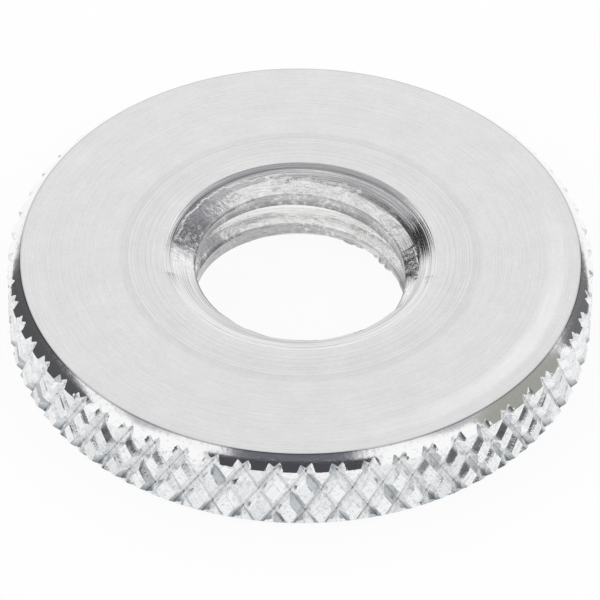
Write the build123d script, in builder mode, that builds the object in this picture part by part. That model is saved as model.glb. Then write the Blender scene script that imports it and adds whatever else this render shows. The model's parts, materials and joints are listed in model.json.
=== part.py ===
from build123d import *
import os
from math import cos, pi, radians, sin, tan

os.makedirs("parts", exist_ok=True)

# A thin knurled thumb nut, turned from bar as one piece. Lengths are in millimetres and angles in
# degrees. The origin is the centre of the lower face, and +Z runs up along the thread.

# Blank
knurl_diameter = 22.0  # over the tops of the knurl
thickness = 3.6
rim_chamfer = 0.5  # at 45 degrees, on both outer rims

# Thread 3/8-16: the bore is the size that the tap drill leaves, without the helix
thread_diameter = 9.525
thread_depth = 0.81  # from the thread's crest to its root

# Mouths of the bore
upper_mouth_over_thread = 0.72  # added to the thread's diameter
upper_mouth_angle = 127.0  # included angle
edge_break_width = 0.21  # shallow bevel round the upper mouth
edge_break_angle = 15.0  # between the upper face and that bevel
lower_mouth_over_thread = 0.38  # added to the thread's diameter
lower_mouth_angle = 90.0  # included angle

# Diamond knurl: two rolls press crossing grooves, which leave rows of blunt pyramids
knurl_pitch = 1.015  # between neighbouring grooves, square to them
knurl_helix = 30.0  # between a groove and the nut's axis
groove_angle = 84.0  # between a groove's two flanks
right_groove_depth = 0.28
left_groove_depth = 0.25
crossing_height = 1.97  # of the middle row of crossings, above the lower face

# Blank, worked out
knurl_radius = knurl_diameter / 2
face_radius = knurl_radius - rim_chamfer
bore_radius = thread_diameter / 2 - thread_depth
upper_mouth_radius = (thread_diameter + upper_mouth_over_thread) / 2
lower_mouth_radius = (thread_diameter + lower_mouth_over_thread) / 2
edge_break_depth = edge_break_width * tan(radians(edge_break_angle))
upper_cone_radius = upper_mouth_radius - edge_break_width
upper_cone_depth = (upper_cone_radius - bore_radius) / tan(radians(upper_mouth_angle / 2))
lower_cone_depth = (lower_mouth_radius - bore_radius) / tan(radians(lower_mouth_angle / 2))

# Knurl, worked out
groove_spacing = knurl_pitch / cos(radians(knurl_helix))  # along the circumference
groove_count = round(pi * knurl_diameter / groove_spacing)
groove_reach = thickness / cos(radians(knurl_helix))  # past both rims, from any height between them


def groove_cutter(depth, hand):
    """A straight cutter that lies along the rim at a crossing and leans to one hand by the helix."""
    outside = depth  # how far the cutter stands out of the rim
    mouth = (depth + outside) * tan(radians(groove_angle / 2))
    lean = Vector(0, hand * sin(radians(knurl_helix)), cos(radians(knurl_helix)))
    with BuildPart() as cutter:
        with BuildSketch(Plane((knurl_radius, 0, crossing_height), x_dir=(1, 0, 0), z_dir=lean)):
            with BuildLine():
                Polyline((-depth, 0), (outside, mouth), (outside, -mouth), close=True)
            make_face()
        extrude(amount=groove_reach, both=True)
    return cutter.part


right_cutter = groove_cutter(right_groove_depth, 1)
left_cutter = groove_cutter(left_groove_depth, -1)

with BuildPart() as thumb_nut:
    # Half section, from the lower mouth out to the rim and back over the upper face to the bore
    with BuildSketch(Plane.XZ):
        with BuildLine():
            Polyline(
                (bore_radius, lower_cone_depth),
                (lower_mouth_radius, 0),
                (face_radius, 0),
                (knurl_radius, rim_chamfer),
                (knurl_radius, thickness - rim_chamfer),
                (face_radius, thickness),
                (upper_mouth_radius, thickness),
                (upper_cone_radius, thickness - edge_break_depth),
                (bore_radius, thickness - edge_break_depth - upper_cone_depth),
                close=True,
            )
        make_face()
    revolve(axis=Axis.Z)
    # The two sets of grooves cross at the same angles, and run out on the chamfers
    for cutter in (right_cutter, left_cutter):
        with PolarLocations(0, groove_count):
            add(cutter, mode=Mode.SUBTRACT)

thumb_nut.part.label = "thumb_nut"
export_step(thumb_nut.part, "parts/thumb_nut.step")
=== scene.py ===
# %% [markdown]
# # A knurled thumb nut
# A thin round nut, turned from bar and tightened with two fingers. Its rim is knurled for grip, both of
# its rims are chamfered, and a countersunk hole through its middle carries a coarse right-hand thread.
# It is one piece of metal, so this lesson makes one mesh: two walls, a knurled one outside and a
# threaded one inside, joined by the two flat faces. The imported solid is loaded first, and gives the
# sizes and the place.

# %% Load the frame
import json
import math

import bmesh
import bpy
import numpy as np
from mathutils import Matrix, Vector


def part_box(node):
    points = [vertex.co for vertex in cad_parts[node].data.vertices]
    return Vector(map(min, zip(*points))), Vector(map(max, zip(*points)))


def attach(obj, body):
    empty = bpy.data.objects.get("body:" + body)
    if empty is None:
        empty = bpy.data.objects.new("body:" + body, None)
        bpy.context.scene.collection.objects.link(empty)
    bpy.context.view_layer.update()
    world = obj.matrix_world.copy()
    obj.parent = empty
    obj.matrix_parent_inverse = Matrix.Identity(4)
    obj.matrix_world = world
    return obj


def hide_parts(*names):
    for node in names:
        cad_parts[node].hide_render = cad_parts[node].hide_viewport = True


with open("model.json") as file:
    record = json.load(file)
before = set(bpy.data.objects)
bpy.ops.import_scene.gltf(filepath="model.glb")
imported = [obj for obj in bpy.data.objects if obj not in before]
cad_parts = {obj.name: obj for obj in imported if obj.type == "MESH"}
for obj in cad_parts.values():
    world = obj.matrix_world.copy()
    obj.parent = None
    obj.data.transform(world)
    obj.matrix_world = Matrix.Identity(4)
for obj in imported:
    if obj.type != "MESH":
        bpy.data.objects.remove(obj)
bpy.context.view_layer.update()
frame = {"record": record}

low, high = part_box("thumb_nut")
print("solid, in millimetres:", [round(1000 * (b - a), 3) for a, b in zip(low, high)])

# %% [markdown]
# ## Sizes
# The outside sizes come from the solid's box and the hole's from its mount. The knurl is described the
# way a toolmaker describes it, by its pitch, helix and groove angle. The thread is a 3/8-16, so its
# pitch and flank angle follow from the standard. Its roots are shallower than a full thread's, as the
# real nut's are.

# %% Sizes
MM = 0.001
knurl_radius = high[0]
thickness = high[2]
rim_chamfer = 0.5 * MM
face_radius = knurl_radius - rim_chamfer

thread = next(mount for mount in frame["record"]["mounts"] if mount["name"] == "thread")
crest_radius = thread["dims"]["r_mm"] * MM
root_radius = 4.46 * MM
thread_pitch = 25.4 / 16 * MM
thread_flank = math.radians(30)
crest_width = 0.50 * MM
crest_drop = 1.143 * MM  # from the upper face to the crest's lower edge, at the far side of the hole

upper_mouth_radius = 5.1225 * MM
edge_break = (0.21 * MM, math.radians(15))
upper_mouth_slope = math.radians(63.5)  # half of the countersink's angle
lower_mouth_radius = 4.9525 * MM
lower_mouth_slope = math.radians(45)

tooth_count = 59
tooth_step = 2 * math.pi * knurl_radius / tooth_count
knurl_helix = math.radians(30)
knurl_pitch = tooth_step * math.cos(knurl_helix)
groove_floor = 0.03 * MM
groove_depth = {1: 0.28 * MM, -1: 0.25 * MM}  # right-hand and left-hand grooves
groove_half_width = knurl_pitch / 4
crossing_height = 1.97 * MM
print("knurl pitch, in millimetres:", round(knurl_pitch / MM, 4), "teeth:", tooth_count)

# %% [markdown]
# ## The rolled rim, as a formula
# Two hardened rolls press crossing V grooves into the rim and leave blunt pyramids between them. It
# could be cut with 118 wedges and booleans, but a knurl is cold-formed: its tops are a little domed
# and rough, and no two are quite alike. So the rim's radius is worked out at any angle and height, as
# the lowest of the two sets of grooves, the domed tops and the two chamfers.

# %% Radius of the rim
groove_waver = 0.012 * MM
top_grain = 0.004 * MM
top_doming = 0.08  # as a share of half the knurl's pitch


def ripple(angle, height, turns, rise, phase):
    """A slow wave that closes round the nut, for the small differences of formed metal."""
    return np.sin(turns * angle + rise * height / MM + phase)


def roughness_of_metal(angle, height):
    """A grain of about a quarter of a millimetre, from -1 to 1, made of waves that don't line up."""
    grain = np.zeros_like(angle)
    for turns, rise, phase in ((211, 13.1, 0.4), (173, -17.7, 1.9), (287, 5.9, 3.1), (131, 23.3, 5.2)):
        grain = grain + ripple(angle, height, turns, rise, phase)
    return grain / 4


def across_groove(angle, height, hand):
    """Distance from the middle of the nearest groove of one hand, square to it."""
    leaning = hand * (height - crossing_height) * math.tan(knurl_helix)
    along = knurl_radius * angle - leaning
    return np.abs((along + tooth_step / 2) % tooth_step - tooth_step / 2) * math.cos(knurl_helix)


def grooves(angle, height, hand):
    """Radius left by one hand's grooves, which are straight and so run out towards the rims."""
    runout = ((height - crossing_height) * math.tan(knurl_helix)) ** 2 / (2 * knurl_radius)
    uneven = groove_waver * ripple(angle, height, 37, 0.9, 0.7 * hand)
    floor = knurl_radius - groove_depth[hand] + runout + uneven
    flank = np.maximum(0, across_groove(angle, height, hand) - groove_floor / 2)
    return floor + flank * groove_depth[hand] / (groove_half_width - groove_floor / 2)


def pyramid_top(angle, height):
    """Radius of the pyramids' tops: rough, and falling away towards their corners."""
    half = knurl_pitch / 2
    right = 1 - across_groove(angle, height, 1) / half
    left = 1 - across_groove(angle, height, -1) / half
    dome = top_doming * half * (right**2 + left**2) ** 3
    return knurl_radius - top_grain - dome + top_grain * roughness_of_metal(angle, height)


def rim_cone(height):
    """Radius of the two chamfers."""
    return face_radius + np.minimum(height, thickness - height)


def rolled(angle, height):
    """Radius that the rolls leave, before the chamfers."""
    tops = np.minimum(pyramid_top(angle, height), knurl_radius)
    return np.minimum(tops, np.minimum(grooves(angle, height, 1), grooves(angle, height, -1)))


def rim_radius(angle, height):
    """Radius of the rim: the rolled knurl, within the two chamfers."""
    return np.minimum(rolled(angle, height), rim_cone(height))


floor_radius = rim_radius(np.zeros(1), np.full(1, crossing_height))[0]
print("groove floor radius, in millimetres:", round(float(floor_radius) / MM, 3))

# %% [markdown]
# ## The tapped hole, as a formula
# The tap leaves a helix with flat crests at the hole's wall. Both countersinks cut across it, so that
# the crest starts and ends in a thin feather, which the tap tears a little. Here the radius is the
# largest of the thread's and the two cones', less the burr that the feather leaves.

# %% Radius of the hole
edge_break_depth = edge_break[0] * math.tan(edge_break[1])
burr_middle = math.radians(44)
burr_spread = math.radians(32)
burr_reach = 0.17 * MM
burr_rise = 0.14 * MM


def crest_edge(angle):
    """Height of the crest's lower edge on the turn nearest the upper face."""
    return thickness - crest_drop + thread_pitch * (angle - math.pi / 2) / (2 * math.pi)


def threaded(angle, height):
    """Radius of the thread: a flat crest, two flanks and a narrow root."""
    middle = crest_edge(angle) + crest_width / 2
    from_crest = np.abs((height - middle + thread_pitch / 2) % thread_pitch - thread_pitch / 2)
    flank = np.maximum(0, from_crest - crest_width / 2) / math.tan(thread_flank)
    return np.minimum(crest_radius + flank, root_radius)


def burr(angle, height):
    """A ragged feather, torn inwards, where the crest runs out into the lower countersink."""
    edge = lower_mouth_radius - crest_radius  # a height too, because the lower cone's slope is 45 degrees
    near_edge = np.clip(1 - np.abs(height - edge) / burr_rise, 0, 1)
    side = np.clip(1 - np.abs(angle - burr_middle) / burr_spread, 0, 1)
    lobes = np.sqrt(np.abs(np.sin(27 * angle + 0.9 * np.sin(8 * angle)))) * (0.6 + 0.4 * np.sin(13 * angle))
    return burr_reach * np.sqrt(side) * near_edge * lobes


def mouths(height):
    """Radius of the countersinks: the upper one with its broken edge, and the lower one."""
    from_face = thickness - height
    width, slope = edge_break
    broken = upper_mouth_radius - from_face / math.tan(slope)
    cone = upper_mouth_radius - width - (from_face - edge_break_depth) * math.tan(upper_mouth_slope)
    upper = np.where(from_face < edge_break_depth, broken, cone)
    lower = lower_mouth_radius - height * math.tan(lower_mouth_slope)
    return np.maximum(upper, lower)


def hole_radius(angle, height):
    """Radius of the hole: the thread and the countersinks, less the burr."""
    return np.maximum(threaded(angle, height), mouths(height)) - burr(angle, height)


print("thread pitch, in millimetres:", round(thread_pitch / MM, 4))
print("crest and root radius:", round(crest_radius / MM, 4), round(root_radius / MM, 4))


# %% [markdown]
# ## From a plain tube to a formed wall
# Each wall starts as an open cylinder. Level cuts give it rows, its points are moved out or in to the
# formula's radius, and where a sharp edge passes between two rows the nearer row is moved onto it. Each
# small square is then split along whichever diagonal lies closer to the surface, so that grooves,
# which run along the diagonals, stay crisp.


# %% Make a wall
def deselect_all():
    """Leaves nothing selected, so that an operator acts only on what it makes."""
    bpy.ops.object.select_all(action="DESELECT")


def plain_tube(name, radius, columns, rows):
    """An open cylinder from the lower face to the upper one, cut into rows at the heights given."""
    deselect_all()
    bpy.ops.mesh.primitive_cylinder_add(
        vertices=columns,
        radius=radius,
        depth=thickness,
        end_fill_type="NOTHING",
        location=(0, 0, thickness / 2),
    )
    tube = bpy.context.object
    tube.name = name
    bpy.ops.object.transform_apply(location=True, rotation=True, scale=True)
    bpy.ops.object.mode_set(mode="EDIT")
    for height in rows:
        bpy.ops.mesh.select_all(action="SELECT")
        bpy.ops.mesh.bisect(plane_co=(0, 0, height), plane_no=(0, 0, 1), threshold=1e-7)
    bpy.ops.object.mode_set(mode="OBJECT")
    return tube


def form_wall(tube, surface, rows, creases):
    """Moves a tube's points onto a surface, and the nearest row onto each crease."""
    points = np.empty(len(tube.data.vertices) * 3)
    tube.data.vertices.foreach_get("co", points)
    points = points.reshape(-1, 3)
    angle = np.arctan2(points[:, 1], points[:, 0])
    levels = np.array([0, *rows, thickness])
    row = np.abs(points[:, 2, None] - levels).argmin(axis=1)
    height = levels[row]
    for crease in creases:
        target = crease(angle)
        nearest = np.abs(target[:, None] - levels).argmin(axis=1)
        inside = (nearest == row) & (target > levels[1] / 2) & (target < thickness - levels[1] / 2)
        height = np.where(inside & (row > 0) & (row < len(levels) - 1), target, height)
    radius = surface(angle, height)
    points = np.stack([radius * np.cos(angle), radius * np.sin(angle), height], axis=1)
    tube.data.vertices.foreach_set("co", points.ravel())
    tube.data.update()


def split_along_creases(tube, surface):
    """Splits each quad along the diagonal that lies closer to the surface at its middle."""
    mesh = bmesh.new()
    mesh.from_mesh(tube.data)
    quads = [face for face in mesh.faces if len(face.verts) == 4]
    corners = np.array([[vertex.co[:] for vertex in face.verts] for face in quads])
    middle = corners.mean(axis=1)
    radii = np.hypot(corners[:, :, 0], corners[:, :, 1])
    wanted = surface(np.arctan2(middle[:, 1], middle[:, 0]), middle[:, 2])
    first = np.abs(radii[:, 0] + radii[:, 2] - 2 * wanted)
    second = np.abs(radii[:, 1] + radii[:, 3] - 2 * wanted)
    for face, start in zip(quads, (second < first).astype(int)):
        bmesh.utils.face_split(face, face.verts[start], face.verts[start + 2])
    mesh.to_mesh(tube.data)
    mesh.free()


# %% [markdown]
# ## The rim's wall
# There are 24 columns to a tooth, and rows as far apart as a groove climbs from one column to the next.
# Grooves of both hands then run exactly along the squares' diagonals.

# %% Form the rim
columns_per_tooth = 24
rim_columns = tooth_count * columns_per_tooth
row_step = tooth_step / columns_per_tooth / math.tan(knurl_helix)
first_row = crossing_height % row_step
rim_rows = np.arange(first_row, thickness - 0.2 * row_step, row_step)
rim_rows = rim_rows[rim_rows > 0.2 * row_step]


def chamfer_foot(angle, from_top):
    """Height at which one chamfer meets the knurl: the first crossing on the way from the face."""
    depths = np.linspace(0.05 * MM, rim_chamfer + 0.02 * MM, 120)
    heights = thickness - depths if from_top else depths
    grid_angle = np.repeat(angle[:, None], len(depths), axis=1)
    grid_height = np.repeat(heights[None, :], len(angle), axis=0)
    gap = rolled(grid_angle, grid_height) - rim_cone(grid_height)
    after = np.clip((gap < 0).argmax(axis=1), 1, len(depths) - 1)
    index = np.arange(len(angle))
    share = gap[index, after - 1] / (gap[index, after - 1] - gap[index, after] + 1e-12)
    return heights[after - 1] + share * (heights[after] - heights[after - 1])


rim = plain_tube("rim", knurl_radius, rim_columns, rim_rows)
feet = [lambda angle: chamfer_foot(angle, True), lambda angle: chamfer_foot(angle, False)]
form_wall(rim, rim_radius, rim_rows, feet)
split_along_creases(rim, rim_radius)
print("rim:", rim_columns, "columns,", len(rim_rows) + 1, "rows,", len(rim.data.polygons), "triangles")

# %% [markdown]
# ## The hole's wall
# The thread's edges climb slowly across the rows, so each of its four edges on each turn is a crease,
# and so is the foot of the upper countersink.

# %% Form the hole
hole_columns = 360
hole_row_step = 0.05  # in millimetres
hole_rows = np.arange(hole_row_step, thickness / MM - 0.2 * hole_row_step, hole_row_step) * MM


def thread_edge(turn, offset):
    """One edge of the thread: an offset from the crest's lower edge, some turns down."""
    return lambda angle: crest_edge(angle) - turn * thread_pitch + offset


flank_rise = (root_radius - crest_radius) * math.tan(thread_flank)
edge_offsets = (0, crest_width, -flank_rise, crest_width + flank_rise)
edges = [thread_edge(turn, offset) for turn in range(-1, 3) for offset in edge_offsets]
cone_start = upper_mouth_radius - edge_break[0]
root_height = thickness - edge_break_depth - (cone_start - root_radius) / math.tan(upper_mouth_slope)
edges.append(lambda angle: np.full_like(angle, root_height))
hole = plain_tube("hole", crest_radius, hole_columns, hole_rows)
form_wall(hole, hole_radius, hole_rows, edges)
split_along_creases(hole, hole_radius)
print("hole:", hole_columns, "columns,", len(hole_rows) + 1, "rows,", len(hole.data.polygons), "triangles")

# %% [markdown]
# ## One closed piece
# The two walls are joined, and filling between their upper edges makes the upper face. The lower face is
# made the same way. The seams are merged and the faces turned outwards, so that the nut is closed.


# %% Join the walls
def fill_face(height):
    """Fills the flat ring between the two open edges at one height."""
    bpy.ops.mesh.select_all(action="DESELECT")
    mesh = bmesh.from_edit_mesh(bpy.context.object.data)
    for edge in mesh.edges:
        edge.select = edge.is_boundary and all(abs(vertex.co.z - height) < 1e-6 for vertex in edge.verts)
    mesh.select_flush_mode()
    bmesh.update_edit_mesh(bpy.context.object.data)
    bpy.ops.mesh.fill(use_beauty=False)


deselect_all()
hole.select_set(True)
rim.select_set(True)
bpy.context.view_layer.objects.active = rim
bpy.ops.object.join()
nut = bpy.context.object
nut.name = "nut"
bpy.ops.object.mode_set(mode="EDIT")
bpy.ops.mesh.select_mode(type="EDGE")
fill_face(thickness)
fill_face(0)
bpy.ops.mesh.select_all(action="SELECT")
bpy.ops.mesh.remove_doubles(threshold=1e-8)
bpy.ops.mesh.normals_make_consistent(inside=False)
bpy.ops.object.mode_set(mode="OBJECT")
bpy.ops.object.shade_smooth_by_angle(angle=math.radians(24))

check = bmesh.new()
check.from_mesh(nut.data)
open_edges = sum(not edge.is_manifold for edge in check.edges)
triangles = sum(len(face.verts) - 2 for face in check.faces)
volume = round(check.calc_volume() / MM**3, 1)
print("nut:", triangles, "triangles,", open_edges, "open edges,", volume, "cubic millimetres")
check.free()

# %% [markdown]
# ## Shader sums
# The finishes are built from masks that depend on the radius, the height and the angle on the nut. One
# small class lets them be written as ordinary expressions: each operator adds its Math node.


# %% A socket that can be reckoned with
class Wire:
    """A shader socket. Operators on it add Math nodes, and node() adds any other node."""

    def __init__(self, tree, socket=None):
        self.tree = tree
        self.socket = socket

    def node(self, kind, settings=None, values=None, output=0):
        """Adds a node, with its settings first and then what its sockets hold or are linked to."""
        node = self.tree.nodes.new(kind)
        for key, value in (settings or {}).items():
            setattr(node, key, value)
        for key, value in (values or {}).items():
            if isinstance(value, Wire):
                self.tree.links.new(value.socket, node.inputs[key])
            else:
                node.inputs[key].default_value = value
        return Wire(self.tree, node.outputs[output])

    def maths(self, operation, *values):
        """Adds a Math node that works on the values given."""
        return self.node("ShaderNodeMath", {"operation": operation}, dict(enumerate(values)))

    def __add__(self, other):
        return self.maths("ADD", self, other)

    __radd__ = __add__

    def __sub__(self, other):
        return self.maths("SUBTRACT", self, other)

    def __rsub__(self, other):
        return self.maths("SUBTRACT", other, self)

    def __mul__(self, other):
        return self.maths("MULTIPLY", self, other)

    __rmul__ = __mul__

    def between(self, start, end):
        """0 below start and 1 above end, with a straight ramp between them."""
        return self.node(
            "ShaderNodeMapRange",
            {"clamp": True},
            {"Value": self, "From Min": start, "From Max": end, "To Min": 0.0, "To Max": 1.0},
        )

    def ridge(self, centre, width):
        """1 at centre, falling to 0 at width on each side."""
        return self.maths("ABSOLUTE", self - centre).between(width, 0.0)


# %% [markdown]
# ## Turned and rolled finishes
# All of the nut is the same bare aluminium, so its four finishes share one metal and differ in the marks
# left on it. Each mixes two shades of metal by a shadow from 0 to 1, and adds a bump. The marks are
# worked out from the radius, the height and the angle on the nut, so they run round it as tool marks
# do. A picture wrapped onto the nut would be simpler, but would stretch and would show a seam.


# %% Shared metal
def metal(name):
    """A metal with its shader, and the wires that its marks are built from, in millimetres."""
    material = bpy.data.materials.new(name)
    material.use_nodes = True
    tree = material.node_tree
    shader = tree.nodes["Principled BSDF"]
    shader.inputs["Metallic"].default_value = 1.0
    wires = Wire(tree)
    place = wires.node("ShaderNodeTexCoord", output="Object")
    place = wires.node("ShaderNodeVectorMath", {"operation": "MULTIPLY"}, {0: place, 1: (1 / MM,) * 3})
    parts = wires.node("ShaderNodeSeparateXYZ", values={0: place}).socket.node
    x, y, z = (Wire(tree, parts.outputs[axis]) for axis in range(3))
    radius = wires.maths("SQRT", x * x + y * y)
    angle = wires.maths("ARCTAN2", y, x)
    return material, shader, wires, place, radius, angle, z


def mix_colours(wires, share, first, second):
    """Mixes two colours by a share that changes over the surface."""
    return wires.node(
        "ShaderNodeMix", {"data_type": "RGBA"}, {0: share, 6: (*first, 1), 7: (*second, 1)}, output=2
    )


def finish_metal(wires, shader, colour, roughness, height, strength, distance=0.01):
    """Links what changes over the surface: colour, roughness and a bump of the height given."""
    tree = wires.tree
    tree.links.new(colour.socket, shader.inputs["Base Color"])
    tree.links.new(roughness.socket, shader.inputs["Roughness"])
    bump = wires.node(
        "ShaderNodeBump", values={"Strength": strength, "Distance": distance * MM, "Height": height}
    )
    tree.links.new(bump.socket, shader.inputs["Normal"])


# %% Readings for marks
def noise(wires, place, scale, detail):
    """A cloudy reading from 0 to 1."""
    return wires.node("ShaderNodeTexNoise", values={"Vector": place, "Scale": scale, "Detail": detail})


def rings(wires, radius, per_mm, detail=4.0):
    """A reading from 0 to 1 that changes only with the radius, as turning marks do."""
    along = {"W": radius * per_mm, "Scale": 1.0, "Detail": detail}
    return wires.node("ShaderNodeTexNoise", {"noise_dimensions": "1D"}, along)


def place_from(wires, *axes):
    """A place made of three readings."""
    return wires.node("ShaderNodeCombineXYZ", values=dict(enumerate(axes)))


def place_round(wires, angle, turn_length, outward):
    """A place that closes round the nut, so that noise read there has no seam."""
    sideways, onward = wires.maths("COSINE", angle), wires.maths("SINE", angle)
    return place_from(wires, sideways * turn_length, outward, onward * turn_length)


# %% [markdown]
# ## Faced metal
# A facing tool crosses the flat faces and leaves close rings, which are deeper where it paused. They
# scatter the light, so the face is satin: it sends part of the light all ways, as paint does, and the
# shader is a little less than wholly metallic. One arc near the rim is lighter.

# %% Faced metal
deep_rings = (5.42, 5.62, 5.83, 6.06, 6.15, 6.23, 6.34, 6.48, 6.53, 6.60, 6.69, 6.75)  # radii in millimetres
satin = 0.72  # how metallic the face is


def faced_metal():
    """A satin face with close rings, deeper ones round the hole, and a dark line of painted shade at its
    rim.
    """
    material, shader, wires, place, radius, angle, _ = metal("faced_aluminium")
    shader.inputs["Metallic"].default_value = satin
    fine = rings(wires, radius, 22.0)
    broad = rings(wires, radius, 2.3, 2.0)
    drag = noise(wires, place_round(wires, angle, 9.0, radius * 14.0), 1.0, 5.0)
    cloud = noise(wires, place, 0.9, 5.0)
    grain = noise(wires, place, 9.0, 3.0)
    band = radius.between(5.1, 5.7) * radius.between(6.9, 6.6)
    paused = sum(radius.ridge(centre, 0.035) for centre in deep_rings) * band
    # one arc near the rim, from the front round to the right, lighter in colour
    lighter_arc = angle.ridge(-0.55, 0.95) * radius.between(9.15, 9.40) * radius.between(10.05, 9.80)
    # painted shade: a dark line along the face's rim, where it turns into the chamfer
    painted_rim_shade = radius.between(face_radius / MM - 0.07, face_radius / MM - 0.01)
    marks = fine * 0.5 + broad * 0.15 + drag * 0.3 + cloud * 0.25 + grain * 0.35 + paused * 0.26
    shadow = marks + painted_rim_shade * 0.8 - lighter_arc * 0.35 - 0.20
    colour = mix_colours(wires, shadow, (0.965, 0.965, 0.958), (0.63, 0.63, 0.63))
    roughness = 0.30 + fine * 0.06
    height = fine * 0.4 + rings(wires, radius, 70.0, 2.0) * 0.35 + drag * 0.3 - paused * 0.35
    finish_metal(wires, shader, colour, roughness, height, 0.15)
    return material


# %% [markdown]
# ## Chamfered metal
# The chamfers are cut by the edge of the tool in one pass, so they shine more than the faces and mirror
# the studio in bands. A turned chamfer is never quite straight across. A crown in the bump rounds it,
# so that its upper half mirrors higher things than its lower half. Modelling the crown would need many
# more rows for a rise that is far too small to see in outline.


# %% Chamfered metal
def chamfered_metal():
    """Close bright rings on a face that is a little rounded, with a dark line of painted shade where it
    starts.
    """
    material, shader, wires, place, radius, _, z = metal("chamfered_aluminium")
    slope = radius + z
    fine = rings(wires, slope, 30.0)
    broad = rings(wires, slope, 6.0, 2.0)
    specks = noise(wires, place, 7.0, 3.0)
    from_face = radius - face_radius / MM
    # painted shade: a dark line along the edge where the chamfer meets the face
    line = from_face.ridge(0.0, 0.045)
    shadow = fine * 0.4 + broad * 0.25 + specks.between(0.58, 0.7) * 0.3 + line * 1.9 - 0.28
    colour = mix_colours(wires, shadow, (0.98, 0.98, 0.985), (0.50, 0.50, 0.54))
    upper = from_face.between(0.30, 0.15)
    roughness = 0.04 + fine * 0.05 + upper * 0.07 + upper * specks.between(0.5, 0.7) * 0.08
    from_middle = from_face - rim_chamfer / 2 / MM
    crown = 1.0 - from_middle * from_middle * 10.0
    height = fine * 0.4 + broad * 0.2 + specks * 0.16 + crown * 2.2
    finish_metal(wires, shader, colour, roughness, height, 1.0)
    return material


# %% [markdown]
# ## Rolled metal
# The rolls press the knurl, and leave smooth flanks with faint lines drawn along them and torn, mottled
# tops. No two facets shine alike. One tone for the whole knurl looks moulded, so each facet gets its
# own, which the mesh carries in the attribute facet_tone_and_painted_shade. It also carries painted shade:
# the upper flanks, the lower flanks near the bottom and the creases are painted darker. Where two
# grooves meet, the metal is torn and dull, and the attribute groove_meeting says how much.


# %% Rolled metal
def rolled_metal():
    """Smooth flanks, each with its own tone and painted shade, and torn, mottled tops."""
    material, shader, wires, place, radius, angle, z = metal("rolled_aluminium")
    # facet tones, with painted shade on the upper flanks, on the lower flanks near the bottom and in the
    # creases
    shade = wires.node("ShaderNodeAttribute", {"attribute_name": "facet_tone_and_painted_shade"}, output=2)
    meeting = wires.node("ShaderNodeAttribute", {"attribute_name": "groove_meeting"}, output=2)
    top = radius.between(knurl_radius / MM - 0.05, knurl_radius / MM - 0.01)
    torn = noise(wires, place, 6.0, 6.0)
    chipped = noise(wires, place, 11.0, 4.0)
    onward = angle * (knurl_radius / MM)
    lean = z * math.tan(knurl_helix)
    drawn = rings(wires, onward - lean, 16.0) + rings(wires, onward + lean, 16.0)
    flaws = torn.between(0.52, 0.66) * 0.22 + chipped.between(0.58, 0.70) * 0.18
    flaws = flaws + drawn.between(0.9, 1.3) * 0.15
    bright = shade * (1.08 - flaws) - top * 0.09
    colour = mix_colours(wires, bright, (0.05, 0.085, 0.11), (0.985, 0.99, 0.995))
    wires.tree.links.new((1.0 - meeting * 0.7).socket, shader.inputs["Metallic"])
    roughness = 0.06 + top * 0.12 + chipped * 0.08 + meeting * 0.3
    height = torn * (top * 0.6 + 0.25) + chipped * (top * 0.25 + 0.1) + drawn * 0.08
    finish_metal(wires, shader, colour, roughness, height, 0.45, 0.02)
    return material


# %% [markdown]
# ## Bored metal
# The hole has two kinds of mark. The countersink is turned, with streaks round it, a scored line near its
# mouth, painted dark as shade on the back half only, and a lip that is rounded at the front. The tap
# then smears the mouth's inner part and the thread: it draws the metal along the turns, chatters
# square to them and tears patches, while the roots stay clean. The crests are darker, and the first
# crest is darker towards its lower edge. Painted shade darkens the crests of the lower turn on their
# back-left side, and a line on the flank beside them. One material holds both, because the smears end
# in a ragged edge across the cone, where two materials would meet along the mesh's straight edges.


# %% Marks of the countersink
def countersink_marks(wires, radius, angle, back):
    """Streaks, and the shadow and height of the turned cone. Back is the distance behind the middle."""
    streak = noise(wires, place_round(wires, angle, 1.2, radius * 17.0), 1.0, 5.0)
    fine = rings(wires, radius, 13.0)
    scored = radius.ridge((upper_mouth_radius - edge_break[0]) / MM - 0.02, 0.05)
    shadow = streak.between(0.35, 0.7) * 0.4 + fine.between(0.4, 0.7) * 0.3
    # the scored line is a real mark; its dark is painted shade, on the back half only
    shadow = shadow + scored * back.between(-2.0, 1.0) * 0.6
    shadow = shadow + radius.between(4.72, 4.62) * 0.16 + radius.between(4.02, 3.97) * 0.5
    lip = radius.between(3.95, 4.92) * back.between(-1.0, -3.0)
    height = streak * 1.1 + fine * 0.7 - lip * 22.0
    return streak, shadow, height


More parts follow.
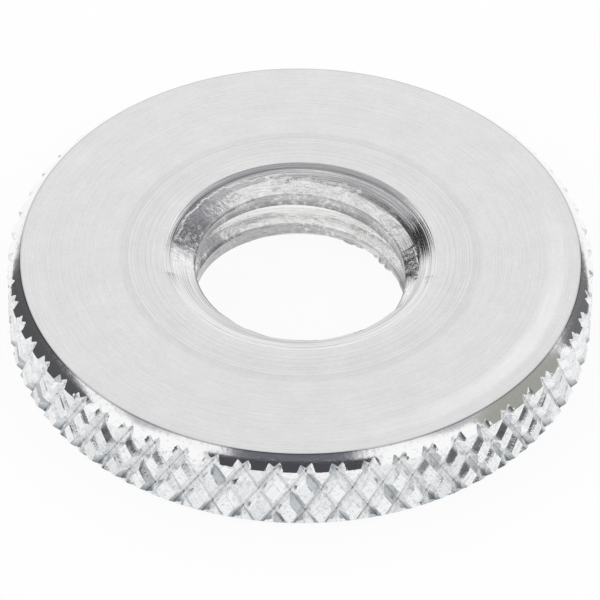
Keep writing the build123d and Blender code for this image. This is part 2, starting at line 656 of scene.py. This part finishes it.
# %% Marks of the tap
def tap_marks(wires, place, radius, angle, z):
    """Shadow, height and haze of the smeared metal, and how ragged its edge is."""
    turn = angle * (thread_pitch / MM / (2 * math.pi))
    drawn = noise(wires, place_from(wires, angle * 9.0, (z - turn) * 26.0, radius * 20.0), 1.0, 4.0)
    chatter = noise(wires, place_from(wires, angle * 70.0, z * 1.5, radius), 1.0, 3.0)
    torn = noise(wires, place, 6.5, 5.0)
    patch = noise(wires, place, 1.1, 2.0)
    rough_patch = patch.between(0.42, 0.60)
    bright_specks = torn.between(0.50, 0.62) * (rough_patch * 0.75 + 0.15)

    below_mouth = z.between(3.0, 2.9)
    root = radius.ridge(root_radius / MM, 0.05) * below_mouth
    first_turn = (thickness - crest_drop - thread_pitch / 4) / MM
    rise = wires.maths("FLOORED_MODULO", z - turn - first_turn, thread_pitch / MM)
    # the first crest darker towards its lower edge
    darker_lower_edge = rise.between(0.38, 0.02) * z.between(1.75, 1.95) * below_mouth
    crest = radius.between(4.03, 3.98)
    # the crests darker, most of all above 2.3 mm
    darker_crests = crest * z.between(1.6, 2.3) * (0.55 - rough_patch * 0.15) + crest * 0.10
    blackened = angle.ridge(2.86, 0.30) * torn.between(0.40, 0.52) * z.between(2.6, 2.9)
    # painted shade: below 2.3 mm the crests darken on the back-left side, with a dark line on the flank
    # beside them
    back_left = wires.maths("COSINE", angle - 2.6).between(-0.25, 0.45)
    painted_shade_lower_turn = z.between(2.35, 2.25) * (crest * back_left * 0.56 + radius.ridge(4.03, 0.04) * 0.5)

    shadow = painted_shade_lower_turn + drawn.between(0.44, 0.66) * 0.24 + chatter * 0.04 + darker_lower_edge * 0.4
    shadow = (shadow + darker_crests + blackened * 0.9 - bright_specks * 0.4) * (1.0 - root * 0.97)
    height = (drawn * 0.35 + torn * (rough_patch * 2.2 + 0.05) + chatter * 0.12) * (1.0 - root * 0.9)
    haze = (1.0 - root) * chatter * 0.12
    return shadow, height, haze, torn * 0.25 + patch * 0.3


# %% Bored metal
smear_offset = 0.28  # in millimetres, from the middle of the hole to the middle of the smeared ring


def bored_metal():
    """A streaked countersink, and inside it the crests and flanks that the tap has torn and smeared."""
    material, shader, wires, place, radius, angle, z = metal("bored_aluminium")
    back = wires.maths("SINE", angle) * radius
    streak, clean_shadow, clean_height = countersink_marks(wires, radius, angle, back)
    smeared_shadow, smeared_height, haze, ragged = tap_marks(wires, place, radius, angle, z)

    right = wires.maths("COSINE", angle) * radius
    off_centre = right * (2 * smear_offset) + radius * radius + smear_offset**2
    edge = wires.maths("SQRT", off_centre) + ragged
    on_cone = edge.between(4.86, 4.80) * back.between(-1.2, 0.4)
    smeared = wires.maths("MAXIMUM", on_cone, z.between(3.02, 3.0))
    steeper = radius.between(3.95, 4.5) * angle.between(1.66, 1.82) * angle.between(3.0, 2.7)

    shadow = clean_shadow * (1.0 - smeared) + smeared_shadow * smeared
    colour = mix_colours(wires, shadow, (0.98, 0.98, 0.975), (0.30, 0.30, 0.31))
    roughness = 0.08 + streak * 0.08 + smeared * haze + z.between(1.25, 1.10) * 0.25
    height = clean_height * (1.0 - smeared) + (smeared_height + steeper * 3.4) * smeared
    finish_metal(wires, shader, colour, roughness, height, 0.5, 0.02)
    return material


finishes = {
    "faced": faced_metal(),
    "chamfered": chamfered_metal(),
    "rolled": rolled_metal(),
    "bored": bored_metal(),
}
for name, material in finishes.items():
    nut.data.materials.append(material)
    print(name, "finish:", len(material.node_tree.nodes), "nodes")

# %% [markdown]
# ## A tone for every facet, with painted shade
# Every face of the mesh lies on a top or on one of the four flanks of a pyramid. Its normal tells which,
# and the two groove lines beside it tell which pyramid. The kind sets a painted shade: upper flanks are
# darker than lower ones and tops, lower flanks darken towards the lower rim, creases are dark, and some
# upper flanks facing onward are darker still. A number made from kind and pyramid stands for chance, so
# that the tones look random and yet come out the same every time.

# %% Facets of the knurl
# painted shade: the upper flanks are darker than the lower flanks and the tops
top_tone, flank_tones_with_painted_shade = 0.97, (0.80, 0.78, 0.95, 0.90)  # upper flanks, then lower ones
painted_shade_share, painted_shade_step = 0.4, 0.22  # how many of the flanks of one kind get extra painted shade, and how much
painted_crease_shade_width = 0.04 * MM
meeting_width = 0.15 * MM


def fraction(values):
    """What is left of each value after its whole part."""
    return values - np.floor(values)


def tones_and_painted_shade_of_facets(angle, height, normal):
    """A tone for every facet, with painted shade: upper flanks darker, lower ones fading downwards, none
    quite alike.
    """
    outward = normal[:, 0] * np.cos(angle) + normal[:, 1] * np.sin(angle)
    onward = normal[:, 1] * np.cos(angle) - normal[:, 0] * np.sin(angle)
    kind = np.where(outward > 0.85, 0, 1 + (onward > 0) + 2 * (normal[:, 2] < 0))
    plain = np.array([top_tone, *flank_tones_with_painted_shade])[kind]
    low = np.clip((height - 0.45 * MM) / (0.75 * MM), 0, 1)
    # painted shade: the lower flanks darken towards the lower rim
    plain = np.where(kind > 2, plain * (0.25 + 0.75 * low), plain)
    cells = []
    for hand in (1, -1):
        leaning = hand * (height - crossing_height) * math.tan(knurl_helix)
        cells.append(np.floor((knurl_radius * angle - leaning) / tooth_step) % tooth_count)
    chance = fraction(np.sin(cells[0] * 12.9898 + cells[1] * 78.233 + kind * 37.719) * 43758.5453)
    # extra painted shade on a random share of the upper flanks that face onward
    plain = np.where((kind == 2) & (chance < painted_shade_share), plain - painted_shade_step, plain)
    # painted shade along the groove bottoms, in the creases
    nearest = np.minimum(across_groove(angle, height, 1), across_groove(angle, height, -1))
    crease = np.clip(1 - nearest / painted_crease_shade_width, 0, 1)
    return np.clip(plain + 0.2 * (chance - 0.5) - 0.3 * crease, 0, 1)


def groove_meetings(angle, height):
    """1 where two grooves meet, where the rolls leave the metal torn and dull, and 0 elsewhere."""
    further = np.maximum(across_groove(angle, height, 1), across_groove(angle, height, -1))
    return np.clip(1.9 - further / meeting_width, 0, 1)


# %% Give each surface its finish
def per_face(what):
    """The centres or the normals of all faces, as an array of three columns."""
    values = np.empty(3 * len(nut.data.polygons))
    nut.data.polygons.foreach_get(what, values)
    return values.reshape(-1, 3)


def write_attribute(name, values):
    """Gives every face a number that its material can read by name."""
    attribute = nut.data.attributes.new(name, "FLOAT", "FACE")
    attribute.data.foreach_set("value", values.astype(np.float32))


middle, normal = per_face("center"), per_face("normal")
angle = np.arctan2(middle[:, 1], middle[:, 0])
radius, height = np.hypot(middle[:, 0], middle[:, 1]), middle[:, 2]
flat = np.abs(normal[:, 2]) > 0.999
outside = radius > face_radius - 0.1 * MM
sloping = np.abs(np.abs(normal[:, 2]) - 0.707) < 0.05
on_chamfer = (np.abs(radius - rim_cone(height)) < 0.012 * MM) & sloping
names = np.select([flat, outside & on_chamfer, outside], ["faced", "chamfered", "rolled"], "bored")
order = list(finishes)
slots = np.array([order.index(name) for name in names], dtype=np.int32)
nut.data.polygons.foreach_set("material_index", slots)
nut.data.polygons.foreach_set("use_smooth", ~flat)
write_attribute("facet_tone_and_painted_shade", tones_and_painted_shade_of_facets(angle, height, normal))
write_attribute("groove_meeting", groove_meetings(angle, height))
print("faces of each finish:", {name: int((names == name).sum()) for name in order})

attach(nut, "root")
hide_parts("thumb_nut")

# %% [markdown]
# ## Studio
# Bright metal shows what stands round it, so the studio is part of its look. The nut lies on white paper
# in a white tent with two softboxes, which light it but aren't mirrored in it, so that no highlight burns
# out. What the metal mirrors is a set of plain cards. A dark card behind the camera and others at the
# sides show in the chamfer as bands. A grey roof tones the face down, three skylights in it show in the
# flanks of the thread, and two boards on the table show under the rim. Only reflections see the cards, so
# they neither light nor shade the paper. A picture of a room would be less work, but its bands
# couldn't be placed.


# %% Paper and tent
def seen_by(wires, *rays):
    """1 for the kinds of ray named, and 0 for the rest."""
    path = wires.node("ShaderNodeLightPath").socket.node
    share = Wire(wires.tree, path.outputs[rays[0]])
    for ray in rays[1:]:
        share = wires.maths("MAXIMUM", share, Wire(wires.tree, path.outputs[ray]))
    return share


def white_paper():
    """White paper that stays white to the eye, under the shadow that falls on it."""
    material = bpy.data.materials.new("white_paper")
    material.use_nodes = True
    tree = material.node_tree
    wires = Wire(tree)
    tree.nodes.remove(tree.nodes["Principled BSDF"])
    plain = wires.node("ShaderNodeBsdfDiffuse", values={"Color": (0.9, 0.9, 0.9, 1)})
    white = wires.node("ShaderNodeEmission", values={"Color": (1, 1, 1, 1), "Strength": 1.0})
    share = seen_by(wires, "Is Camera Ray") * 0.9 + seen_by(wires, "Is Glossy Ray") * 0.8
    mixed = wires.node("ShaderNodeMixShader", values={0: share, 1: plain, 2: white})
    tree.links.new(mixed.socket, tree.nodes["Material Output"].inputs["Surface"])
    return material


deselect_all()
bpy.ops.mesh.primitive_plane_add(size=4, location=(0, 0, 0))
paper = bpy.context.object
paper.name = "paper"
paper.data.materials.append(white_paper())

world = bpy.data.worlds.new("tent")
bpy.context.scene.world = world
world.use_nodes = True
wires = Wire(world.node_tree)
background = world.node_tree.nodes["Background"]
background.inputs["Color"].default_value = (1, 1, 1, 1)
level = seen_by(wires, "Is Camera Ray", "Is Glossy Ray") * 0.05 + 0.95
world.node_tree.links.new(level.socket, background.inputs["Strength"])
print("paper, in metres:", [round(side, 2) for side in paper.dimensions])


# %% Softboxes
def facing_place(azimuth, elevation, distance):
    """A place round the nut, and the turn that faces it."""
    around, up = math.radians(azimuth), math.radians(elevation)
    out = math.cos(up)
    place = distance * Vector((math.cos(around) * out, math.sin(around) * out, math.sin(up)))
    return place, (-place).to_track_quat("-Z", "Y").to_euler()


def softbox(name, azimuth, elevation, distance, size, level):
    """A square area light of a given brightness, where 1 is as bright as white paper."""
    light = bpy.data.lights.new(name, "AREA")
    light.shape = "SQUARE"
    light.size = size
    light.energy = level * math.pi * size**2
    lamp = bpy.data.objects.new(name, light)
    lamp.location, lamp.rotation_euler = facing_place(azimuth, elevation, distance)
    lamp.visible_glossy = False
    bpy.context.collection.objects.link(lamp)
    print(name, "watts:", round(light.energy, 3))


softbox("softbox_left", -150, 36, 0.6, 0.36, 1.0)
softbox("softbox_right", -40, 38, 0.6, 0.30, 1.0)


# %% Cards that stand round the nut
def hide_from_camera(plane):
    """Leaves a plane to reflections alone, as part of the stage."""
    plane.visible_camera = False
    plane.visible_diffuse = False
    plane.visible_shadow = False


def glowing(name, level):
    """A material that shows one brightness however it is lit."""
    material = bpy.data.materials.new(name)
    material.use_nodes = True
    tree = material.node_tree
    tree.nodes.remove(tree.nodes["Principled BSDF"])
    glow = Wire(tree).node("ShaderNodeEmission", values={"Color": (*level, 1), "Strength": 1.0})
    tree.links.new(glow.socket, tree.nodes["Material Output"].inputs["Surface"])
    return material


def card(name, azimuth, elevation, distance, size, level):
    """A grey card that only reflections see, and that neither lights nor shades the paper."""
    deselect_all()
    place, turn = facing_place(azimuth, elevation, distance)
    bpy.ops.mesh.primitive_plane_add(size=1, location=place, rotation=turn)
    plane = bpy.context.object
    plane.name = name
    plane.scale = (size[0], size[1], 1)
    plane.data.materials.append(glowing(name, level))
    hide_from_camera(plane)


card("card_behind_camera", -92, 22, 0.6, (0.60, 0.56), (0.07, 0.07, 0.08))
card("card_low_front", -92, 3, 0.5, (0.50, 0.14), (0.14, 0.14, 0.145))
card("card_above_camera", -92, 55.5, 0.6, (0.38, 0.175), (0.125, 0.13, 0.15))
card("card_back_left", 161, 13, 0.6, (0.60, 0.40), (0.09, 0.09, 0.095))
card("card_right", -1, 26, 0.6, (0.36, 0.28), (0.36, 0.36, 0.33))
card("card_back_right", 35, 9, 0.6, (0.34, 0.24), (0.16, 0.16, 0.165))
card("card_side_left", 127, 4, 0.59, (0.15, 0.16), (0.42, 0.42, 0.43))
card("card_far_left", 135, 35, 0.62, (0.18, 0.26), (0.03, 0.03, 0.035))
card("card_far_right", 30, 47, 0.62, (0.26, 0.26), (0.24, 0.24, 0.26))

# %% Roof, skylights and table
roof_height = 0.5
skylight_height = 0.49  # just under the roof, so that the roof doesn't hide them
table_height = 0.001
skylight = (0.95, 0.95, 0.94)


def level_board(name, corners, height, level):
    """A level board with four corners, in metres, which only reflections see."""
    deselect_all()
    bpy.ops.mesh.primitive_plane_add(size=1, location=(0, 0, 0))
    board = bpy.context.object
    board.name = name
    for vertex, corner in zip(board.data.vertices, corners):
        vertex.co = (*corner, height)
    board.data.materials.append(glowing(name, level))
    hide_from_camera(board)
    print(name, "at height", height)


# Each board's corners go front left, front right, back left, back right.
roof = ((-0.6, -0.3), (0.6, -0.3), (-0.6, 0.32), (0.6, 0.32))
roof_right = ((0.30, 0.32), (0.75, 0.32), (0.30, 0.62), (0.75, 0.62))
level_board("roof", roof, roof_height, (0.43, 0.43, 0.45))
level_board("roof_right", roof_right, roof_height, (0.28, 0.28, 0.30))

on_the_left = ((-0.60, 0.15), (-0.17, -0.17), (-0.50, 0.27), (-0.20, -0.045))
in_the_middle = ((-0.17, -0.17), (0.20, -0.16), (-0.20, -0.045), (0.17, -0.045))
on_the_right = ((0.20, -0.16), (0.47, 0.03), (0.17, -0.045), (0.38, 0.125))
level_board("skylight_left", on_the_left, skylight_height, skylight)
level_board("skylight_middle", in_the_middle, skylight_height, skylight)
level_board("skylight_right", on_the_right, skylight_height, skylight)

table = ((-0.27, -0.6), (0.27, -0.6), (-0.012, -0.022), (0.012, -0.022))
table_right = ((0.022, -0.008), (0.6, -0.2), (0.022, 0.008), (0.6, 0.2))
level_board("table", table, table_height, (0.16, 0.16, 0.165))
level_board("table_right", table_right, table_height, (0.33, 0.33, 0.34))

# %% [markdown]
# ## Camera
# A long lens from well back keeps the round rim almost free of perspective. The camera looks down at a
# little under 45 degrees, and is rolled by less than one degree.

# %% Camera
lens_mm = 355.3
reach = 21.13 * face_radius
elevation = math.radians(43.33)
downward = math.radians(43.77)
roll = math.radians(-0.70)

camera_data = bpy.data.cameras.new("camera")
camera_data.sensor_width = 36
camera_data.lens = lens_mm
camera = bpy.data.objects.new("camera", camera_data)
bpy.context.collection.objects.link(camera)
camera.location = (0, -reach * math.cos(elevation), thickness + reach * math.sin(elevation))
tilt = Matrix.Rotation(math.pi / 2 - downward, 4, "X")
camera.rotation_euler = (tilt @ Matrix.Rotation(-roll, 4, "Z")).to_euler()
bpy.context.scene.camera = camera
bpy.context.scene.view_settings.view_transform = "Standard"
print("camera, in millimetres:", [round(value / MM, 1) for value in camera.location])
